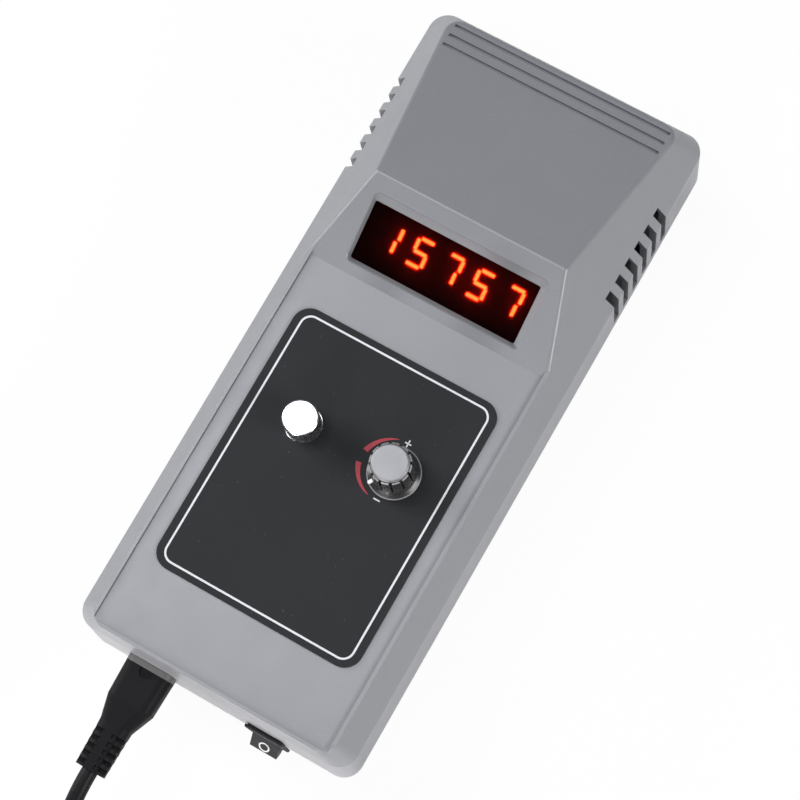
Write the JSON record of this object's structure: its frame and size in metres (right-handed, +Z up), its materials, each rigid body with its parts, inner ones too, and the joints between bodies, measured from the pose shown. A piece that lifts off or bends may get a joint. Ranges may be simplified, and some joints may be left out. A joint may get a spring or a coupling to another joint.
{
  "type": "xenon stroboscope",
  "caption": "Hand-held xenon stroboscope with a digital speed display, push button, dial knob, rocker switch and mains cord.",
  "frame": {"origin": "middle of the case's flat back, on the surface it lies on", "axes": "+X to the right across the panel, +Y along the case towards the flash lamp, +Z up out of the panel"},
  "size_m": [0.1245, 0.3572, 0.064],
  "materials": {
    "upper_case": "fine texture",
    "back_case": "fine texture",
    "label_film": "satin",
    "display_window": "gloss, dark tint",
    "digit_body": "gloss",
    "digit_glow": "lit",
    "circuit_board": "solder mask",
    "screw_steel": "zinc plated",
    "bright_button": "polished",
    "stem_plastic": "moulded",
    "knob_black": "satin",
    "knob_silver": "satin",
    "pointer_white": "printed",
    "pot_steel": "plated",
    "shaft_metal": "turned",
    "switch_black": "satin",
    "rocker_black": "satin",
    "contact_metal": "plated",
    "inlet_black": "satin",
    "connector_rubber": "moulded",
    "cord_rubber": "satin",
    "lamp_frame": "satin",
    "clear_window": "clear",
    "mirror_metal": "polished",
    "tube_glass": "clear",
    "core_steel": "laminated",
    "can_plastic": "sleeve",
    "coil_plastic": "varnish",
    "chip_plastic": "moulded",
    "fuse_glass": "clear"
  },
  "bodies": {
    "case": {"board_screws": "screw_steel", "case_screws": "screw_steel", "connector_relief": "connector_rubber", "control_board": "circuit_board", "control_screws": "screw_steel", "controller_chip": "chip_plastic", "cord_coil": "cord_rubber", "digit_module_1": "digit_body", "digit_module_2": "digit_body", "digit_module_3": "digit_body", "digit_module_4": "digit_body", "digit_module_5": "digit_body", "display_board": "circuit_board", "display_filter": "display_window", "display_screws": "screw_steel", "fuse": "fuse_glass", "fuse_clips": "contact_metal", "inlet_pins": "contact_metal", "lamp_bezel": "lamp_frame", "lamp_window": "clear_window", "lit_segments": "digit_glow", "lower_shell": "back_case", "main_board": "circuit_board", "mains_plug": "connector_rubber", "mains_transformer": "core_steel", "panel_label": "label_film", "plug_pins": "contact_metal", "plug_relief": "connector_rubber", "pot_body": "pot_steel", "pot_nut": "pot_steel", "power_connector": "connector_rubber", "power_cord": "cord_rubber", "power_inlet": "inlet_black", "push_switch": "switch_black", "reflector": "mirror_metal", "storage_capacitor": "can_plastic", "switch_housing": "switch_black", "switch_terminals": "contact_metal", "trigger_coil": "coil_plastic", "tube_caps": "contact_metal", "tube_clips": "screw_steel", "upper_shell": "upper_case", "xenon_tube": "tube_glass"},
    "button": {"button_cap": "bright_button", "button_stem": "stem_plastic"},
    "knob": {"knob_skirt": "knob_black", "knob_cap": "knob_silver", "knob_pointer": "pointer_white", "pot_shaft": "shaft_metal"},
    "rocker_lever": {"rocker": "rocker_black"}
  },
  "joints": [
    {"name": "button_press", "type": "slide", "parent": "case", "child": "button", "axis": [0, 0, -1], "range_m": [0, 0.002], "stiffness_N_per_m": 800, "springref_m": -0.0002},
    {"name": "knob_turn", "type": "hinge", "parent": "case", "child": "knob", "pos_m": [0.0154, -0.025, 0.0495], "axis": [0, 0, 1], "range_deg": [-290, 10]},
    {"name": "rocker_flip", "type": "hinge", "parent": "case", "child": "rocker_lever", "pos_m": [0.0167, -0.104, 0.0185], "axis": [1, 0, 0], "range_deg": [0, 30]}
  ]
}
